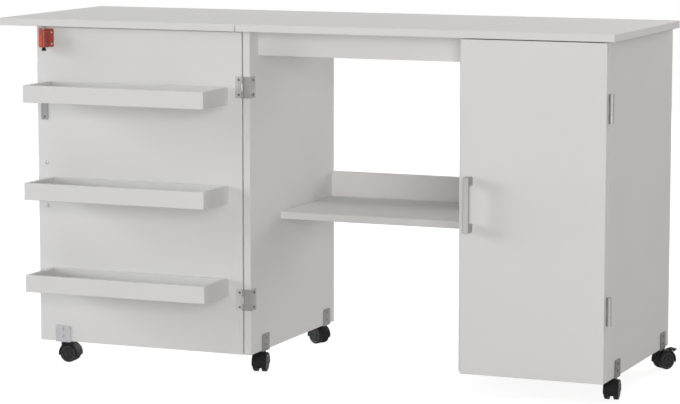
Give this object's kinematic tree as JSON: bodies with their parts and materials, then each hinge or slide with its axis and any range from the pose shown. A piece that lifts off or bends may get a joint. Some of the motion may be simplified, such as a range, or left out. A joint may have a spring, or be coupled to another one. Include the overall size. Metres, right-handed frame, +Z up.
{
  "type": "folding sewing cutting table",
  "caption": "White board sewing table with a kneehole and a cupboard, and a swing-out gate on casters that holds up a hinged cutting leaf",
  "frame": {"origin": "on the floor under the middle of the table's outer box, with the gate open and the leaf up", "axes": "+X runs along the table towards the cupboard side, +Y from the front to the back, +Z up"},
  "size_m": [1.4212, 0.591, 0.762],
  "materials": {
    "laminate": "white melamine laminate over board, satin",
    "thin_board": "thin white faced hardboard",
    "zinc_steel": "pressed steel, nickel plated",
    "hinge_pin_steel": "drawn steel",
    "handle_metal": "brushed nickel",
    "bracket_paint": "grey powder coat",
    "catch_plastic": "moulded plastic",
    "red_plastic": "moulded plastic, dark red",
    "thumb_plastic": "moulded plastic, bright red",
    "black_plastic": "moulded nylon",
    "wheel_plastic": "hard nylon wheel"
  },
  "bodies": {
    "carcass": {"left_side_panel": "laminate", "partition_panel": "laminate", "right_side_panel": "laminate", "main_top": "laminate", "apron": "laminate", "kneehole_shelf": "laminate", "shelf_upstand": "laminate", "cabinet_floor": "laminate", "cabinet_shelf": "laminate", "shelf_pins": "zinc_steel", "cabinet_back": "thin_board", "gate_hinge_frame_leaves": "zinc_steel", "gate_hinge_pins": "hinge_pin_steel", "door_hinge_frame_leaves": "zinc_steel", "door_hinge_pins": "hinge_pin_steel", "leaf_hinge_frame_leaves": "zinc_steel", "leaf_hinge_pins": "hinge_pin_steel", "door_catch": "catch_plastic", "left_front_bracket": "bracket_paint", "left_back_bracket": "bracket_paint", "right_front_bracket": "bracket_paint", "right_back_bracket": "bracket_paint"},
    "leaf": {"leaf_top": "laminate", "leaf_hinge_leaves": "zinc_steel"},
    "gate": {"gate_panel": "laminate", "tray_fronts": "laminate", "tray_backs": "laminate", "tray_ends": "laminate", "tray_floors": "thin_board", "latch_housing": "red_plastic", "gate_strike_plate": "zinc_steel", "gate_handle": "handle_metal", "gate_hinge_leaves": "zinc_steel", "gate_bracket": "bracket_paint"},
    "latch": {"latch_bolt": "hinge_pin_steel", "latch_thumb": "thumb_plastic", "latch_knob": "black_plastic"},
    "door": {"door_panel": "laminate", "door_handle": "handle_metal", "door_hinge_leaves": "zinc_steel", "door_strike_plate": "zinc_steel"},
    "pedal": {"brake_pedal": "black_plastic"},
    "left_front_swivel": {"left_front_caster_hood": "black_plastic", "left_front_caster_axle": "hinge_pin_steel"},
    "left_front_wheels": {"left_front_caster_wheels": "wheel_plastic"},
    "left_back_swivel": {"left_back_caster_hood": "black_plastic", "left_back_caster_axle": "hinge_pin_steel"},
    "left_back_wheels": {"left_back_caster_wheels": "wheel_plastic"},
    "right_front_swivel": {"right_front_caster_hood": "black_plastic", "right_front_caster_axle": "hinge_pin_steel"},
    "right_front_wheels": {"right_front_caster_wheels": "wheel_plastic"},
    "right_back_swivel": {"right_back_caster_hood": "black_plastic", "right_back_caster_axle": "hinge_pin_steel", "brake_pin": "hinge_pin_steel"},
    "right_back_wheels": {"right_back_caster_wheels": "wheel_plastic"},
    "gate_swivel": {"gate_caster_hood": "black_plastic", "gate_caster_axle": "hinge_pin_steel"},
    "gate_wheels": {"gate_caster_wheels": "wheel_plastic"}
  },
  "joints": [
    {"name": "leaf_hinge", "type": "hinge", "parent": "carcass", "child": "leaf", "pos_m": [-0.1321, 0.0625, 0.743], "axis": [0, 1, 0], "range_deg": [0, 5]},
    {"name": "gate_hinge", "type": "hinge", "parent": "carcass", "child": "gate", "pos_m": [-0.1311, -0.1722, 0.4], "axis": [0, 0, 1], "range_deg": [0, 180]},
    {"name": "door_hinge", "type": "hinge", "parent": "carcass", "child": "door", "pos_m": [0.6896, -0.1722, 0.4], "axis": [0, 0, 1], "range_deg": [0, 180]},
    {"name": "latch_slide", "type": "slide", "parent": "gate", "child": "latch", "axis": [0, 0, 1], "range_m": [0, 0.01]},
    {"name": "left_front_swivel_turn", "type": "hinge", "parent": "carcass", "child": "left_front_swivel", "pos_m": [-0.1216, -0.0935, 0.044], "axis": [0, 0, 1], "continuous": true},
    {"name": "left_front_wheel_turn", "type": "hinge", "parent": "left_front_swivel", "child": "left_front_wheels", "pos_m": [-0.11893, -0.10724, 0.02], "axis": [0.9816, 0.1908, 0], "continuous": true},
    {"name": "left_back_swivel_turn", "type": "hinge", "parent": "carcass", "child": "left_back_swivel", "pos_m": [-0.1216, 0.2495, 0.044], "axis": [0, 0, 1], "continuous": true},
    {"name": "left_back_wheel_turn", "type": "hinge", "parent": "left_back_swivel", "child": "left_back_wheels", "pos_m": [-0.13436, 0.25526, 0.02], "axis": [-0.4115, -0.9114, 0], "continuous": true},
    {"name": "right_front_swivel_turn", "type": "hinge", "parent": "carcass", "child": "right_front_swivel", "pos_m": [0.6764, -0.0935, 0.044], "axis": [0, 0, 1], "continuous": true},
    {"name": "right_front_wheel_turn", "type": "hinge", "parent": "right_front_swivel", "child": "right_front_wheels", "pos_m": [0.67835, -0.10736, 0.02], "axis": [0.9903, 0.1392, 0], "continuous": true},
    {"name": "right_back_swivel_turn", "type": "hinge", "parent": "carcass", "child": "right_back_swivel", "pos_m": [0.6764, 0.2495, 0.044], "axis": [0, 0, 1], "continuous": true},
    {"name": "right_back_wheel_turn", "type": "hinge", "parent": "right_back_swivel", "child": "right_back_wheels", "pos_m": [0.68482, 0.26068, 0.02], "axis": [-0.7986, 0.6018, 0], "continuous": true},
    {"name": "brake_press", "type": "hinge", "parent": "right_back_swivel", "child": "pedal", "pos_m": [0.6943, 0.27326, 0.03877], "axis": [-0.7986, 0.6018, 0], "range_deg": [0, 25]},
    {"name": "gate_swivel_turn", "type": "hinge", "parent": "gate", "child": "gate_swivel", "pos_m": [-0.5716, -0.1625, 0.044], "axis": [0, 0, 1], "continuous": true},
    {"name": "gate_wheel_turn", "type": "hinge", "parent": "gate_swivel", "child": "gate_wheels", "pos_m": [-0.55762, -0.16177, 0.02], "axis": [-0.0523, 0.9986, 0], "continuous": true}
  ]
}
